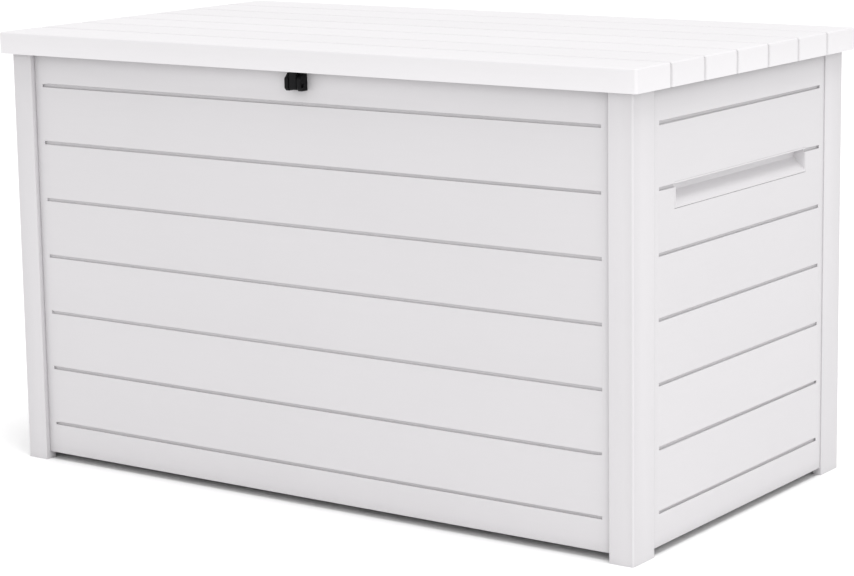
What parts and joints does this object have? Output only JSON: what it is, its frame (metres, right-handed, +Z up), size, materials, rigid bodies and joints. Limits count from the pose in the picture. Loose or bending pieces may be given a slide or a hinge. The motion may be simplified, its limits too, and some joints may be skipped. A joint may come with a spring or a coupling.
{
  "type": "deck storage box",
  "caption": "Rectangular resin garden storage box with plank-pattern walls, corner posts, an overhanging hinged lid on gas struts, side hand pockets and a padlock hasp.",
  "frame": {"origin": "centre of the footprint, on the ground", "axes": "+X along the length, to the right seen from the front; the front, with the hasp, faces -Y; +Z up"},
  "size_m": [1.47, 0.825, 0.872],
  "materials": {
    "wall_resin": "satin, embossed wood grain",
    "lid_resin": "satin, embossed wood grain",
    "floor_resin": "satin",
    "hinge_plastic": "satin",
    "black_plastic": "fine texture",
    "black_paint": "semi-gloss",
    "chrome_rod": "polished",
    "zinc_steel": "zinc plated",
    "seal_rubber": "matt"
  },
  "bodies": {
    "box": {"back_panel": "wall_resin", "floor_panel": "floor_resin", "front_left_post": "wall_resin", "front_panel": "wall_resin", "front_right_post": "wall_resin", "hinge_1_box_leaf": "hinge_plastic", "hinge_1_pin": "zinc_steel", "hinge_2_box_leaf": "hinge_plastic", "hinge_2_pin": "zinc_steel", "hinge_3_box_leaf": "hinge_plastic", "hinge_3_pin": "zinc_steel", "hinge_4_box_leaf": "hinge_plastic", "hinge_4_pin": "zinc_steel", "hinge_box_leaf_screws": "zinc_steel", "left_handle_cup": "wall_resin", "left_handle_cup_screws": "zinc_steel", "left_side_panel": "wall_resin", "left_strut_base_bracket": "zinc_steel", "left_strut_base_bracket_screws": "zinc_steel", "lock_keeper": "black_plastic", "lock_keeper_screws": "zinc_steel", "rear_left_post": "wall_resin", "rear_right_post": "wall_resin", "right_handle_cup": "wall_resin", "right_handle_cup_screws": "zinc_steel", "right_side_panel": "wall_resin", "right_strut_base_bracket": "zinc_steel", "right_strut_base_bracket_screws": "zinc_steel", "strut_base_clips": "zinc_steel"},
    "lid": {"front_stiffening_bar": "zinc_steel", "hinge_1_lid_leaf": "hinge_plastic", "hinge_2_lid_leaf": "hinge_plastic", "hinge_3_lid_leaf": "hinge_plastic", "hinge_4_lid_leaf": "hinge_plastic", "hinge_lid_leaf_screws": "zinc_steel", "left_strut_lid_bracket": "zinc_steel", "lid_liner": "lid_resin", "lid_liner_screws": "zinc_steel", "lid_top_shell": "lid_resin", "lock_hasp": "black_plastic", "lock_hasp_screws": "zinc_steel", "rear_stiffening_bar": "zinc_steel", "right_strut_lid_bracket": "zinc_steel", "strut_lid_bracket_screws": "zinc_steel"},
    "left_strut_tube_body": {"left_strut_base_eye": "black_plastic", "left_strut_tube": "black_paint", "left_strut_gland": "black_plastic"},
    "left_strut_rod_body": {"left_strut_rod": "chrome_rod", "left_strut_piston": "seal_rubber", "left_strut_rod_eye": "black_plastic", "left_strut_stud": "zinc_steel"},
    "right_strut_tube_body": {"right_strut_base_eye": "black_plastic", "right_strut_tube": "black_paint", "right_strut_gland": "black_plastic"},
    "right_strut_rod_body": {"right_strut_rod": "chrome_rod", "right_strut_piston": "seal_rubber", "right_strut_rod_eye": "black_plastic", "right_strut_stud": "zinc_steel"}
  },
  "joints": [
    {"name": "lid_hinge", "type": "hinge", "parent": "box", "child": "lid", "pos_m": [0, 0.401, 0.836], "axis": [-1, 0, 0], "range_deg": [0, 80]},
    {"name": "left_strut_swing", "type": "hinge", "parent": "box", "child": "left_strut_tube_body", "pos_m": [-0.684, 0.335, 0.6], "axis": [-1, 0, 0], "range_deg": [0, 3.8]},
    {"name": "left_strut_slide", "type": "slide", "parent": "left_strut_tube_body", "child": "left_strut_rod_body", "axis": [0, 0.0471, 0.9989], "range_m": [0, 0.07675]},
    {"name": "right_strut_swing", "type": "hinge", "parent": "box", "child": "right_strut_tube_body", "pos_m": [0.684, 0.335, 0.6], "axis": [-1, 0, 0], "range_deg": [0, 3.8]},
    {"name": "right_strut_slide", "type": "slide", "parent": "right_strut_tube_body", "child": "right_strut_rod_body", "axis": [0, 0.0471, 0.9989], "range_m": [0, 0.07675]}
  ],
  "couplings": [
    {"joint": "left_strut_swing", "follows": "lid_hinge", "ratio": 0.047351},
    {"joint": "left_strut_slide", "follows": "lid_hinge", "m_per_rad": 0.054858},
    {"joint": "right_strut_swing", "follows": "lid_hinge", "ratio": 0.047351},
    {"joint": "right_strut_slide", "follows": "lid_hinge", "m_per_rad": 0.054858}
  ]
}
